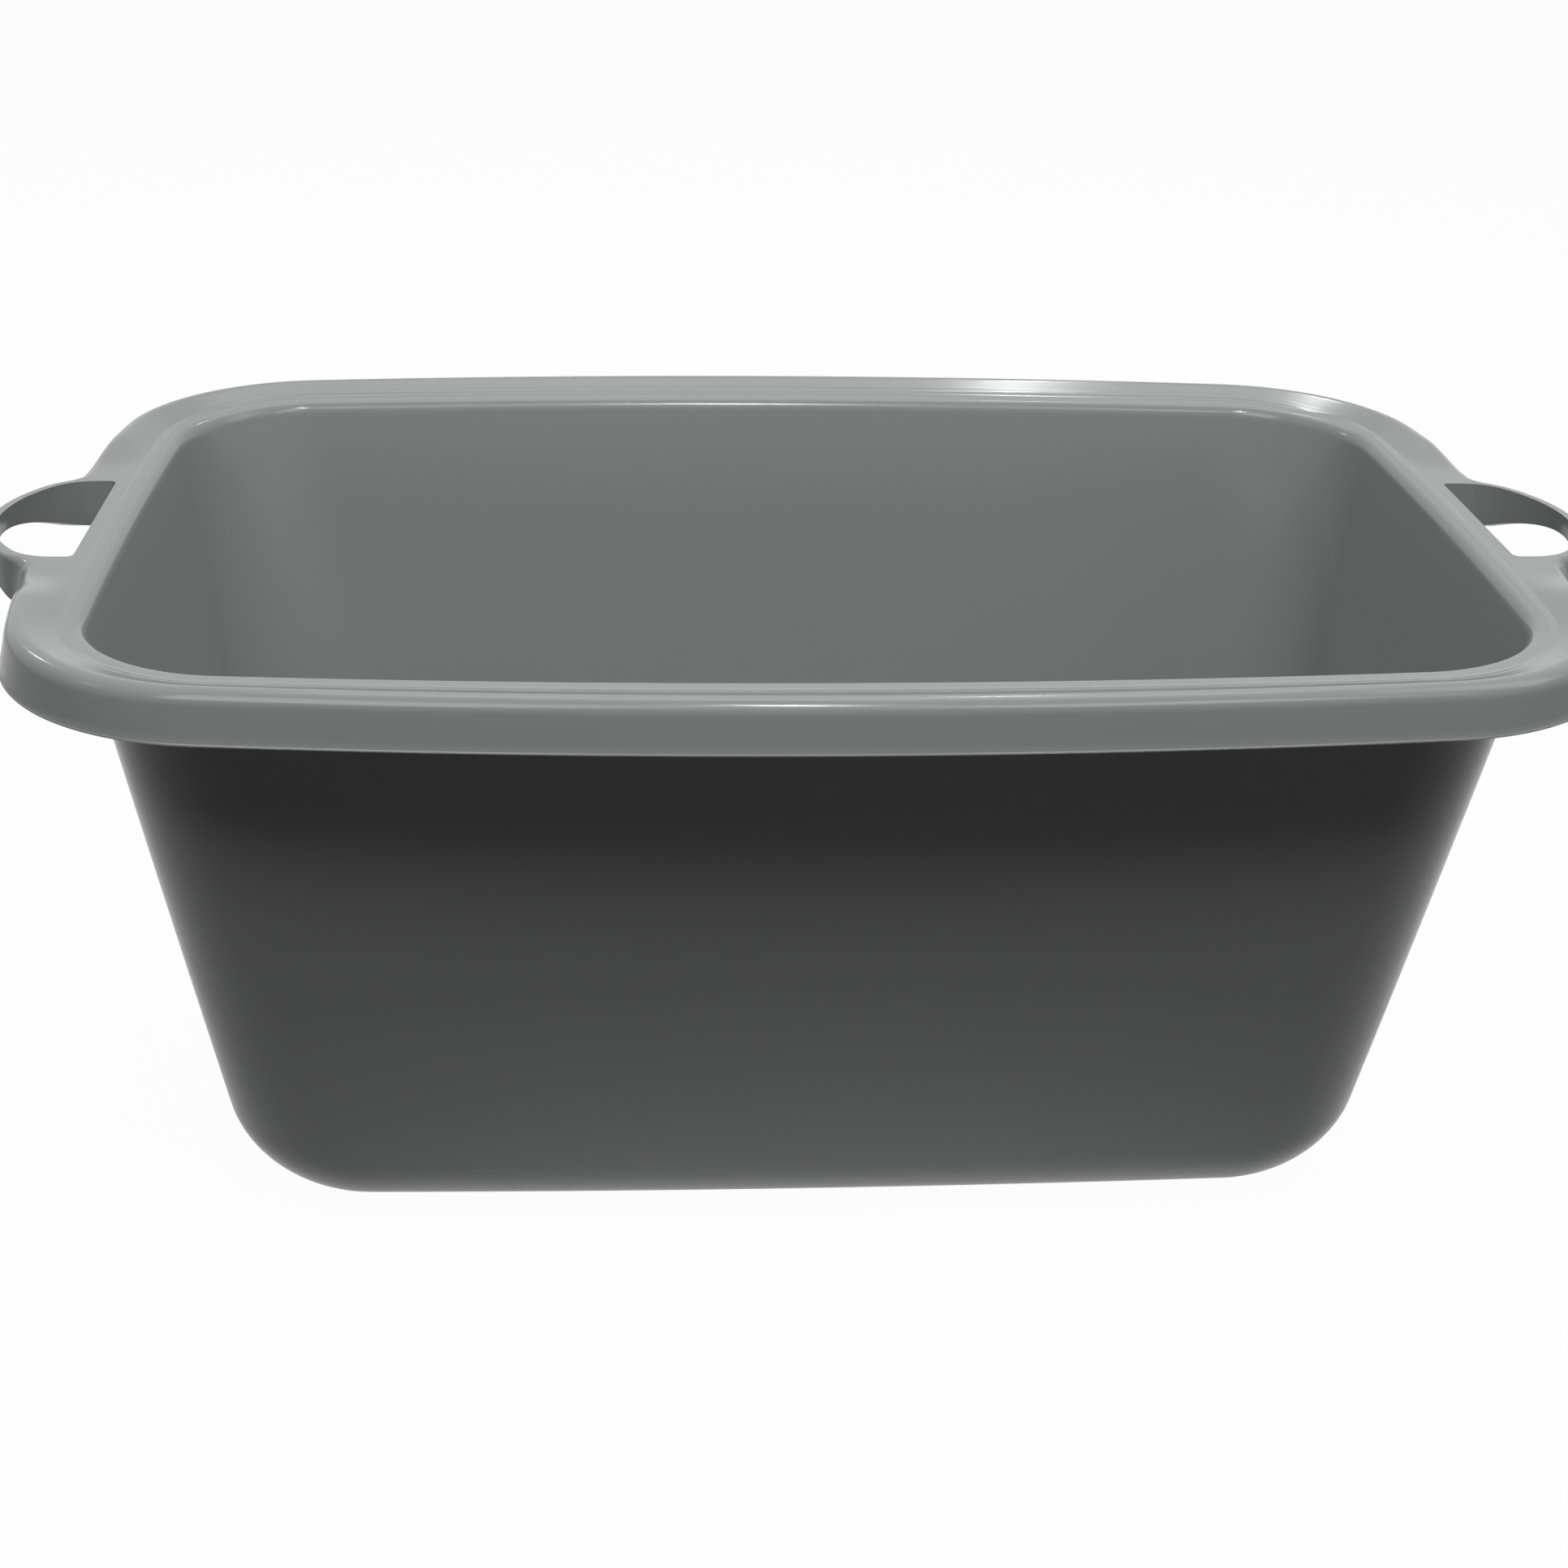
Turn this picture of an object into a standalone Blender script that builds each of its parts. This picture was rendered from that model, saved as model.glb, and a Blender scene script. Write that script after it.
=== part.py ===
"""Utility tub: an open, tapered, rectangular tub with a turned-down rim and a hand-hole handle
at each end, all of one grey plastic. X runs along the length, Y along the width and Z up, in
metres. The origin is the middle of the face that the tub stands on."""

import math
from collections import namedtuple

import bmesh
import bpy
from mathutils import Matrix

# Walls
WALL = 0.0025
PIECE_GAP = 0.0003

# Mouth: the line where the inner walls would meet the rim if nothing were rounded
MOUTH_HALF_LENGTH = 0.2800
MOUTH_HALF_WIDTH = 0.1820
MOUTH_LONG_BOW = 0.0140
MOUTH_SHORT_BOW = 0.0050
MOUTH_CORNER = 0.0620

# Base: the outside of the tub where the walls would meet the floor
BASE_HALF_LENGTH = 0.2395
BASE_HALF_WIDTH = 0.1280
BASE_LONG_BOW = 0.0042
BASE_SHORT_BOW = 0.0010
BASE_CORNER = 0.0580
FLOOR_FILLET = 0.0435
SHARPEST_CORNER = 0.0040

# Foot: the flat band that the tub stands on, round a floor panel that is set up a little
FOOT_BAND = 0.0140
FLOOR_PANEL_RISE = 0.0020
FLOOR_PANEL_SLOPE = 0.0040
FLOOR_PANEL_CORNER = 0.0200

# Rim: a tall fillet, a narrow sloping ledge and a ridge inside, then the flange, which rises
# to its crest everywhere but at the handles, and the skirt
HEIGHT = 0.2780
MOUTH_FILLET_WIDTH = 0.0040
MOUTH_FILLET_HEIGHT = 0.0055
LEDGE_WIDTH = 0.0028
LEDGE_RISE = 0.0009
RIDGE_WIDTH = 0.0010
RIDGE_RISE = 0.0002
LIP_LAND = 0.0006
RIM_OVER_ENDS = 0.0355
RIM_OVER_SIDES = 0.0360
CREST_RISE = 0.0043
CREST_FADE = 0.0400
RIM_LONG_BOW = 0.0224
RIM_SHORT_BOW = 0.0264
RIM_CORNER = 0.0920
CREST_RADIUS = 0.0080
SKIRT_DEPTH = 0.0182
SKIRT_FLARE = 0.0010

# Handles: a D-shaped hand-hole through the flange, a wall round it and a strap outside it,
# arched on its underside
HOLE_INSET = 0.0155
HOLE_REACH = 0.0397
HOLE_HALF_SPAN = 0.0495
HANDLE_LAND = 0.0193
HOLE_FRONT_RADIUS = 0.0680
HOLE_SHOULDER_RADIUS = 0.0220
HOLE_CORNER = 0.0030
STRAP_THICKNESS = 0.0048
STRAP_END_DEPTH = 0.0204
STRAP_MIDDLE_DEPTH = 0.0082
STRAP_BLEND = 0.0070
STRAP_ROUND = 0.0022
CUT_OVERRUN = 0.0100

# How finely the curves are divided
LONG_STEPS = 6
CORNER_STEPS = 10
SHORT_STEPS = 8
FLOOR_FILLET_STEPS = 6
WALL_STEPS = 2
MOUTH_FILLET_STEPS = 3
FLANGE_STEPS = 4
CREST_STEPS = 4
SKIRT_STEPS = 1
STRAP_STEPS = 6
HOLE_CORNER_STEPS = 4
ARCH_SEGMENTS = 96

MERGE_DISTANCE = 0.00001
QUARTER_TURN = math.pi / 2
HALF_TURN = math.pi
SHARP_EDGE = math.radians(35)

TUB_GREY = (0.33, 0.335, 0.332, 1.0)
TUB_ROUGHNESS = 0.34

Outline = namedtuple("Outline", "half_length half_width long_radius short_radius corner")
Station = namedtuple("Station", "point outward strap_share crest_share")


def side_radius(half, bow):
    """The radius of a side that stands out by its bow at its middle."""
    return (half**2 + bow**2) / (2 * bow)


def bowed_outline(half_length, half_width, long_bow, short_bow, corner):
    long_radius = side_radius(half_length, long_bow)
    short_radius = side_radius(half_width, short_bow)
    return Outline(half_length, half_width, long_radius, short_radius, corner)


def parallel(shape, by):
    """The outline that runs beside this one, further out by this much."""
    corner = max(shape.corner + by, SHARPEST_CORNER)
    return Outline(*(size + by for size in shape[:-1]), corner)


def between(low, high, share):
    """The outline at this share of the way up. The bowed sides blend by their curvature."""
    length, width, corner = (
        first + (last - first) * share
        for first, last in (
            (low.half_length, high.half_length),
            (low.half_width, high.half_width),
            (low.corner, high.corner),
        )
    )
    long_radius = 1 / ((1 - share) / low.long_radius + share / high.long_radius)
    short_radius = 1 / ((1 - share) / low.short_radius + share / high.short_radius)
    return Outline(length, width, long_radius, short_radius, corner)


def crossing(first, first_reach, second, second_reach):
    """Where circles round two points cross, at the place that lies furthest out."""
    across = second[0] - first[0]
    along = second[1] - first[1]
    apart = math.hypot(across, along)
    to_chord = (first_reach**2 - second_reach**2 + apart**2) / (2 * apart)
    half_chord = math.sqrt(max(first_reach**2 - to_chord**2, 0))
    foot = (first[0] + across * to_chord / apart, first[1] + along * to_chord / apart)
    ends = [
        (foot[0] + side * along * half_chord / apart, foot[1] - side * across * half_chord / apart)
        for side in (1, -1)
    ]
    return max(ends, key=sum)


def direction(start, end):
    """The angle at which one plan point is seen from another."""
    return math.atan2(end[1] - start[1], end[0] - start[0])


def arc(centre, radius, start, end, steps, facing=1):
    """Plan points along an arc, each with the direction out of the material."""
    angles = [start + (end - start) * step / steps for step in range(steps + 1)]
    spokes = [(math.cos(angle), math.sin(angle)) for angle in angles]
    return [
        ((centre[0] + radius * x, centre[1] + radius * y), (facing * x, facing * y))
        for x, y in spokes
    ]


def joined(*arcs):
    """Arcs that follow on from each other as one run, with each shared point once."""
    run = list(arcs[0])
    for piece in arcs[1:]:
        run += piece[1:]
    return run


def quarter(shape, end_y=0.0):
    """A quarter of an outline, from the middle of its long side round the corner to the point
    of its short side that is this far from the middle."""
    long_centre = (0.0, shape.half_width - shape.long_radius)
    short_centre = (shape.half_length - shape.short_radius, 0.0)
    corner_centre = crossing(
        long_centre,
        shape.long_radius - shape.corner,
        short_centre,
        shape.short_radius - shape.corner,
    )
    long_end = direction(long_centre, corner_centre)
    short_start = direction(short_centre, corner_centre)
    short_end = math.asin(end_y / shape.short_radius)
    return joined(
        arc(long_centre, shape.long_radius, QUARTER_TURN, long_end, LONG_STEPS),
        arc(corner_centre, shape.corner, long_end, short_start, CORNER_STEPS),
        arc(short_centre, shape.short_radius, short_start, short_end, SHORT_STEPS),
    )


def short_side_x(shape, y):
    """How far out the short side is at this distance from its middle."""
    return shape.half_length - shape.short_radius + math.sqrt(shape.short_radius**2 - y**2)


MOUTH = bowed_outline(
    MOUTH_HALF_LENGTH, MOUTH_HALF_WIDTH, MOUTH_LONG_BOW, MOUTH_SHORT_BOW, MOUTH_CORNER
)
BASE = bowed_outline(
    BASE_HALF_LENGTH, BASE_HALF_WIDTH, BASE_LONG_BOW, BASE_SHORT_BOW, BASE_CORNER
)
RIM = bowed_outline(
    MOUTH_HALF_LENGTH + RIM_OVER_ENDS,
    MOUTH_HALF_WIDTH + RIM_OVER_SIDES,
    RIM_LONG_BOW,
    RIM_SHORT_BOW,
    RIM_CORNER,
)

# Levels of the rim and of its lip, which is the basin's top from its fillet out to the flange
LIP_HEIGHT = HEIGHT - CREST_RISE
SKIRT_BOTTOM = HEIGHT - SKIRT_DEPTH
STRAP_BOTTOM = LIP_HEIGHT - STRAP_END_DEPTH
RIDGE_FOOT_HEIGHT = LIP_HEIGHT - RIDGE_RISE
LEDGE_FOOT_HEIGHT = RIDGE_FOOT_HEIGHT - LEDGE_RISE
FILLET_SWEEP = math.atan2(MOUTH_FILLET_HEIGHT * LEDGE_WIDTH, MOUTH_FILLET_WIDTH * LEDGE_RISE)
FILLET_START_HEIGHT = LEDGE_FOOT_HEIGHT - MOUTH_FILLET_HEIGHT * math.sin(FILLET_SWEEP)
LEDGE_FOOT_REACH = MOUTH_FILLET_WIDTH * (1 - math.cos(FILLET_SWEEP))
RIDGE_FOOT_REACH = LEDGE_FOOT_REACH + LEDGE_WIDTH
RIDGE_REACH = RIDGE_FOOT_REACH + RIDGE_WIDTH
LIP_REACH = RIDGE_REACH + LIP_LAND

# Places of the hand-hole, seen from above
HANDLE_HALF_SPAN = HOLE_HALF_SPAN + HANDLE_LAND
HOLE_INNER_X = MOUTH_HALF_LENGTH + HOLE_INSET
FRONT_CENTRE = (HOLE_INNER_X + HOLE_REACH - HOLE_FRONT_RADIUS, 0.0)
SHOULDER_Y = HOLE_HALF_SPAN - HOLE_SHOULDER_RADIUS
SHOULDER_OFFSET = math.sqrt((HOLE_FRONT_RADIUS - HOLE_SHOULDER_RADIUS) ** 2 - SHOULDER_Y**2)
SHOULDER_CENTRE = (FRONT_CENTRE[0] + SHOULDER_OFFSET, SHOULDER_Y)
SHOULDER_END = direction(FRONT_CENTRE, SHOULDER_CENTRE)
COLLAR_WALL = STRAP_THICKNESS - WALL / 2

# The cylinder that arches the strap's underside, from the hole's inner side out past the strap
ARCH_RADIUS = side_radius(HOLE_HALF_SPAN, STRAP_END_DEPTH - STRAP_MIDDLE_DEPTH)
ARCH_START_X = HOLE_INNER_X + HOLE_CORNER
ARCH_LENGTH = HOLE_REACH - HOLE_CORNER + STRAP_THICKNESS + CUT_OVERRUN
ARCH_CENTRE = (
    ARCH_START_X + ARCH_LENGTH / 2,
    0.0,
    LIP_HEIGHT - STRAP_MIDDLE_DEPTH - ARCH_RADIUS,
)


def wall_outline(height):
    """The inside of the tub at this height, before the floor's fillet is taken off."""
    share = (height - WALL) / (LEDGE_FOOT_HEIGHT - WALL)
    return between(parallel(BASE, -WALL), MOUTH, share)


def ring(shape, height):
    """A quarter of an outline at a height, as points in space."""
    return [(*point, height) for point, _ in quarter(shape)]


def basin_rings():
    """The inside of the basin from its raised floor panel up to the edge of its lip."""
    fillet = FLOOR_FILLET - WALL
    floor = parallel(BASE, -FLOOR_FILLET)
    foot_edge = parallel(floor, -FOOT_BAND)
    foot_edge = foot_edge._replace(corner=FLOOR_PANEL_CORNER)
    rings = [
        ring(parallel(foot_edge, -FLOOR_PANEL_SLOPE), WALL + FLOOR_PANEL_RISE),
        ring(foot_edge, WALL),
    ]
    for step in range(FLOOR_FILLET_STEPS + 1):
        angle = QUARTER_TURN * step / FLOOR_FILLET_STEPS
        height = WALL + fillet * (1 - math.cos(angle))
        inset = fillet * (1 - math.sin(angle))
        rings.append(ring(parallel(wall_outline(height), -inset), height))
    wall_start = WALL + fillet
    for step in range(1, WALL_STEPS):
        height = wall_start + (FILLET_START_HEIGHT - wall_start) * step / WALL_STEPS
        rings.append(ring(wall_outline(height), height))
    for step in range(MOUTH_FILLET_STEPS + 1):
        angle = FILLET_SWEEP * step / MOUTH_FILLET_STEPS
        height = FILLET_START_HEIGHT + MOUTH_FILLET_HEIGHT * math.sin(angle)
        reach = MOUTH_FILLET_WIDTH * (1 - math.cos(angle))
        rings.append(ring(parallel(wall_outline(height), reach), height))
    for reach, height in (
        (RIDGE_FOOT_REACH, RIDGE_FOOT_HEIGHT),
        (RIDGE_REACH, LIP_HEIGHT),
        (LIP_REACH, LIP_HEIGHT),
    ):
        rings.append(ring(parallel(MOUTH, reach), height))
    return rings


def rim_stations(end_y):
    """The rim's outer edge from the middle of its long side to this near a handle's middle."""
    return [
        Station(point, outward, 0.0, eased(min((point[1] - end_y) / CREST_FADE, 1.0)))
        for point, outward in quarter(RIM, end_y)
    ]


def handle_stations(start_y):
    """The outer edge of half a handle, from the rim's edge out round the strap to its middle."""
    rim_centre = (RIM.half_length - RIM.short_radius, 0.0)
    strap_shoulder = HOLE_SHOULDER_RADIUS + STRAP_THICKNESS
    strap_front = HOLE_FRONT_RADIUS + STRAP_THICKNESS
    blend_centre = crossing(
        rim_centre,
        RIM.short_radius + STRAP_BLEND,
        SHOULDER_CENTRE,
        strap_shoulder + STRAP_BLEND,
    )
    edge_start = math.asin(start_y / RIM.short_radius)
    edge_end = direction(rim_centre, blend_centre)
    blend_start = direction(blend_centre, rim_centre)
    blend_end = direction(blend_centre, SHOULDER_CENTRE)
    shoulder_start = direction(SHOULDER_CENTRE, blend_centre)
    edge = arc(rim_centre, RIM.short_radius, edge_start, edge_end, SHORT_STEPS)
    blend = arc(blend_centre, STRAP_BLEND, blend_start, blend_end, STRAP_STEPS, facing=-1)
    shoulder = arc(SHOULDER_CENTRE, strap_shoulder, shoulder_start, SHOULDER_END, STRAP_STEPS)
    front = arc(FRONT_CENTRE, strap_front, SHOULDER_END, 0.0, STRAP_STEPS)
    shares = [0.0] * len(edge)
    shares += [step / STRAP_STEPS for step in range(1, STRAP_STEPS + 1)]
    shares += [1.0] * (len(shoulder) + len(front) - 2)
    run = joined(edge, blend, shoulder, front)
    return [Station(point, outward, share, 0.0) for (point, outward), share in zip(run, shares)]


def eased(share):
    """A share that leaves 0 and reaches 1 smoothly."""
    return (1 - math.cos(HALF_TURN * share)) / 2


def rim_section(inner, station):
    """The top of the rim at one station, from the lip over the crest and down the skirt."""

    def between_rim_and_strap(rim_size, strap_size):
        return rim_size + (strap_size - rim_size) * station.strap_share

    crest_radius = between_rim_and_strap(CREST_RADIUS, STRAP_ROUND)
    flare = between_rim_and_strap(SKIRT_FLARE, 0.0)
    rise = CREST_RISE * station.crest_share
    crest_height = LIP_HEIGHT + rise
    skirt_top = crest_height - crest_radius
    skirt_bottom = between_rim_and_strap(SKIRT_BOTTOM, STRAP_BOTTOM)

    def beside_edge(out, height):
        (x, y), (out_x, out_y) = station.point, station.outward
        return (x + out * out_x, y + out * out_y, height)

    crest_x, crest_y, _ = beside_edge(-crest_radius, crest_height)
    section = []
    for step in range(FLANGE_STEPS + 1):
        share = step / FLANGE_STEPS
        x = inner[0] + (crest_x - inner[0]) * share
        y = inner[1] + (crest_y - inner[1]) * share
        section.append((x, y, LIP_HEIGHT + rise * eased(share)))
    for step in range(1, CREST_STEPS + 1):
        angle = QUARTER_TURN * step / CREST_STEPS
        inset = crest_radius * (1 - math.sin(angle))
        section.append(beside_edge(-inset, skirt_top + crest_radius * math.cos(angle)))
    for step in range(1, SKIRT_STEPS + 1):
        share = step / SKIRT_STEPS
        height = skirt_top + (skirt_bottom - skirt_top) * share
        section.append(beside_edge(flare * share, height))
    return section


def rim_sections():
    """Half of a rim length, from the middle of its long side to its end at a handle."""
    end_y = HANDLE_HALF_SPAN + PIECE_GAP / 2
    inner_edge = quarter(parallel(MOUTH, LIP_REACH + PIECE_GAP), end_y)
    return [
        rim_section(inner, station)
        for (inner, _), station in zip(inner_edge, rim_stations(end_y))
    ]


def handle_sections():
    """Half of a handle's top, from its end at the rim to the middle of the strap."""
    inner_shape = parallel(MOUTH, LIP_REACH + PIECE_GAP)
    stations = handle_stations(HANDLE_HALF_SPAN - PIECE_GAP / 2)
    return [
        rim_section((short_side_x(inner_shape, station.point[1]), station.point[1]), station)
        for station in stations
    ]


def hole_outline(growth):
    """The D of the hand-hole, or the line round it that lies this much further out."""
    corner_centre = (HOLE_INNER_X + HOLE_CORNER, HOLE_HALF_SPAN - HOLE_CORNER)
    corner = arc(corner_centre, HOLE_CORNER + growth, HALF_TURN, QUARTER_TURN, HOLE_CORNER_STEPS)
    shoulder_radius = HOLE_SHOULDER_RADIUS + growth
    shoulder = arc(SHOULDER_CENTRE, shoulder_radius, QUARTER_TURN, SHOULDER_END, STRAP_STEPS)
    front = arc(FRONT_CENTRE, HOLE_FRONT_RADIUS + growth, SHOULDER_END, 0.0, STRAP_STEPS)
    half = [point for point, _ in corner + joined(shoulder, front)]
    return half + [(x, -y) for x, y in reversed(half[:-1])]


def plastic(name):
    """The smooth, half-glossy grey plastic that the whole tub is moulded in."""
    material = bpy.data.materials.new(name)
    material.use_nodes = True
    shader = material.node_tree.nodes["Principled BSDF"]
    shader.inputs["Base Color"].default_value = TUB_GREY
    shader.inputs["Roughness"].default_value = TUB_ROUGHNESS
    shader.inputs["Metallic"].default_value = 0.0
    return material


def surface(name, sections, floor=()):
    """An open surface through neighbouring sections, with a flat floor face if one is given."""
    mesh = bmesh.new()
    columns = [[mesh.verts.new(point) for point in section] for section in sections]
    for here, there in zip(columns, columns[1:]):
        for row in range(len(here) - 1):
            mesh.faces.new((here[row], there[row], there[row + 1], here[row + 1]))
    if floor:
        middle = [mesh.verts.new(point) for point in floor]
        mesh.faces.new(middle + [column[0] for column in reversed(columns)])
    data = bpy.data.meshes.new(name)
    mesh.to_mesh(data)
    mesh.free()
    return data


def plate(name, outline, low, high):
    """A closed solid with this outline, between two heights, made from a flat filled curve."""
    curve = bpy.data.curves.new(name, "CURVE")
    curve.dimensions = "2D"
    curve.fill_mode = "BOTH"
    curve.extrude = (high - low) / 2
    line = curve.splines.new("POLY")
    line.points.add(len(outline) - 1)
    for place, point in zip(line.points, outline):
        place.co = (*point, 0.0, 1.0)
    line.use_cyclic_u = True
    guide = bpy.data.objects.new(name, curve)
    bpy.context.scene.collection.objects.link(guide)
    graph = bpy.context.evaluated_depsgraph_get()
    data = bpy.data.meshes.new_from_object(guide.evaluated_get(graph))
    bpy.data.objects.remove(guide)
    mesh = bmesh.new()
    mesh.from_mesh(data)
    bmesh.ops.remove_doubles(mesh, verts=mesh.verts, dist=MERGE_DISTANCE)
    bmesh.ops.recalc_face_normals(mesh, faces=mesh.faces)
    bmesh.ops.translate(mesh, verts=mesh.verts, vec=(0.0, 0.0, (low + high) / 2))
    mesh.to_mesh(data)
    mesh.free()
    return data


def arch_cutter(name):
    """The cylinder across the strap, which leaves the arch of the strap's underside."""
    mesh = bmesh.new()
    bmesh.ops.create_cone(
        mesh,
        cap_ends=True,
        segments=ARCH_SEGMENTS,
        radius1=ARCH_RADIUS,
        radius2=ARCH_RADIUS,
        depth=ARCH_LENGTH,
    )
    place = Matrix.Translation(ARCH_CENTRE) @ Matrix.Rotation(QUARTER_TURN, 4, "Y")
    bmesh.ops.transform(mesh, matrix=place, verts=mesh.verts)
    data = bpy.data.meshes.new(name)
    mesh.to_mesh(data)
    mesh.free()
    return data


def placed(name, data, collection, turn=0.0):
    """An object with this mesh, turned about the tub's own upright axis."""
    item = bpy.data.objects.new(name, data)
    item.rotation_euler.z = turn
    collection.objects.link(item)
    return item


def mirrored(item, across_x, across_y):
    mirror = item.modifiers.new("Mirror", "MIRROR")
    mirror.use_axis = (across_x, across_y, False)
    mirror.merge_threshold = MERGE_DISTANCE


def walled(item):
    """Gives the open surface its wall, under or outside the face that is seen."""
    wall = item.modifiers.new("Wall", "SOLIDIFY")
    wall.thickness = WALL
    wall.offset = -1
    wall.use_even_offset = True
    wall.use_quality_normals = True


def combined(item, other, operation):
    boolean = item.modifiers.new(other.name, "BOOLEAN")
    boolean.object = other
    boolean.operation = operation
    boolean.solver = "EXACT"


def finished(item):
    """Gives the piece its material and smooth shading, with its real edges left sharp."""
    item.data.materials.append(plastic(item.name + "_plastic"))
    item.data.shade_smooth()
    item.data.set_sharp_from_angle(angle=SHARP_EDGE)


def make_basin(collection):
    rings = basin_rings()
    sections = list(zip(*rings))
    centre = [(0.0, 0.0, WALL + FLOOR_PANEL_RISE)]
    basin = placed("basin", surface("basin", sections, centre), collection)
    mirrored(basin, True, True)
    walled(basin)
    finished(basin)


def make_rim(name, collection, turn):
    rim = placed(name, surface(name, rim_sections()), collection, turn)
    mirrored(rim, True, False)
    walled(rim)
    finished(rim)


def make_handle(name, collection, cutters, turn):
    handle = placed(name, surface(name, handle_sections()), collection, turn)
    mirrored(handle, False, True)
    walled(handle)
    collar_data = plate(
        name + "_collar", hole_outline(COLLAR_WALL), STRAP_BOTTOM, LIP_HEIGHT - WALL / 2
    )
    hole_data = plate(
        name + "_hole", hole_outline(0.0), STRAP_BOTTOM - CUT_OVERRUN, LIP_HEIGHT + CUT_OVERRUN
    )
    for data, operation in (
        (collar_data, "UNION"),
        (hole_data, "DIFFERENCE"),
        (arch_cutter(name + "_arch"), "DIFFERENCE"),
    ):
        helper = placed(data.name, data, cutters, turn)
        helper.hide_render = True
        helper.display_type = "WIRE"
        combined(handle, helper, operation)
    finished(handle)


def main():
    for item in list(bpy.data.objects):
        bpy.data.objects.remove(item)
    tub = bpy.data.collections.new("utility_tub")
    cutters = bpy.data.collections.new("cutters")
    bpy.context.scene.collection.children.link(tub)
    bpy.context.scene.collection.children.link(cutters)
    make_basin(tub)
    make_rim("back_rim", tub, 0.0)
    make_rim("front_rim", tub, HALF_TURN)
    make_handle("right_handle", tub, cutters, 0.0)
    make_handle("left_handle", tub, cutters, HALF_TURN)


main()
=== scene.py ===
"""Looks of a utility tub: one grey plastic moulding with a turned-down rim and two hand-holes."""

import math
from collections import namedtuple

import bmesh
import bpy
from mathutils import Matrix, Vector


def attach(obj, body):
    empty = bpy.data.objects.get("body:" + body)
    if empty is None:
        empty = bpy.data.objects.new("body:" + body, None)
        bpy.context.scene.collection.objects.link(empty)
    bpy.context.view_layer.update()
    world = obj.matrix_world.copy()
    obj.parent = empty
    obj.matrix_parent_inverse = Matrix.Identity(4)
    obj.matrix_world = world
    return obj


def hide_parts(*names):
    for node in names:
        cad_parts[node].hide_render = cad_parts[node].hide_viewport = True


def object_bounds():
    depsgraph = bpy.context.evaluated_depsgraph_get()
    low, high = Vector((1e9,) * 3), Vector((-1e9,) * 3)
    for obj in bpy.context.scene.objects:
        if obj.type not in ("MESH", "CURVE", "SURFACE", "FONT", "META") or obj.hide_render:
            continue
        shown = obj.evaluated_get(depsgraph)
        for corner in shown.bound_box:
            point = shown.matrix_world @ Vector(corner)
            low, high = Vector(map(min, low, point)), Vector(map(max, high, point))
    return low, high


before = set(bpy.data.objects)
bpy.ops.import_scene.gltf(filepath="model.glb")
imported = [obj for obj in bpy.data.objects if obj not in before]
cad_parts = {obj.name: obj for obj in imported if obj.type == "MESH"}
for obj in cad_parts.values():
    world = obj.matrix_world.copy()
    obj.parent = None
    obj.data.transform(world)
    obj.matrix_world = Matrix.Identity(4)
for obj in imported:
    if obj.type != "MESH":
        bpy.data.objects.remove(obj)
CAD_LOW, CAD_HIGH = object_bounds()
ROOT = "root"

bl_info = {
    "name": "Utility Tub",
    "version": (1, 0, 0),
    "blender": (4, 5, 0),
    "location": "View3D > Sidebar > Tub",
    "description": "Models an open grey plastic tub with a turned-down rim and two hand-holes",
    "category": "Add Mesh",
}

# How finely the curves are divided
LONG_STEPS = 36
CORNER_STEPS = 26
SHORT_STEPS = 16
FLOOR_STEPS = 6
FLOOR_FILLET_STEPS = 16
WALL_STEPS = 12
MOUTH_FILLET_STEPS = 8
LEDGE_STEPS = 20
BEAD_STEPS = (6, 5, 6, 5)
FLANGE_STEPS = 10
UNDERSIDE_STEPS = 8
CREST_STEPS = 14
SKIRT_STEPS = 5
LIP_STEPS = 6
STRAP_STEPS = 12
HOLE_CORNER_STEPS = 8
ARCH_SEGMENTS = 360

QUARTER_TURN = math.pi / 2
HALF_TURN = math.pi
MERGE_DISTANCE = 0.000005
SHARPEST_CORNER = 0.0040
CUT_OVERRUN = 0.0100
SOFT_START = 0.2

LAMP_AIM = Vector((0.0, 0.0, 0.2))

Outline = namedtuple("Outline", "half_length half_width long_radius short_radius corner")
Station = namedtuple("Station", "point outward strap_share crest_share")


def length_setting(name, description, default):
    """A length that the sidebar shows in scene units."""
    return bpy.props.FloatProperty(
        name=name, description=description, default=default, min=0.0, unit="LENGTH", precision=4
    )


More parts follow.
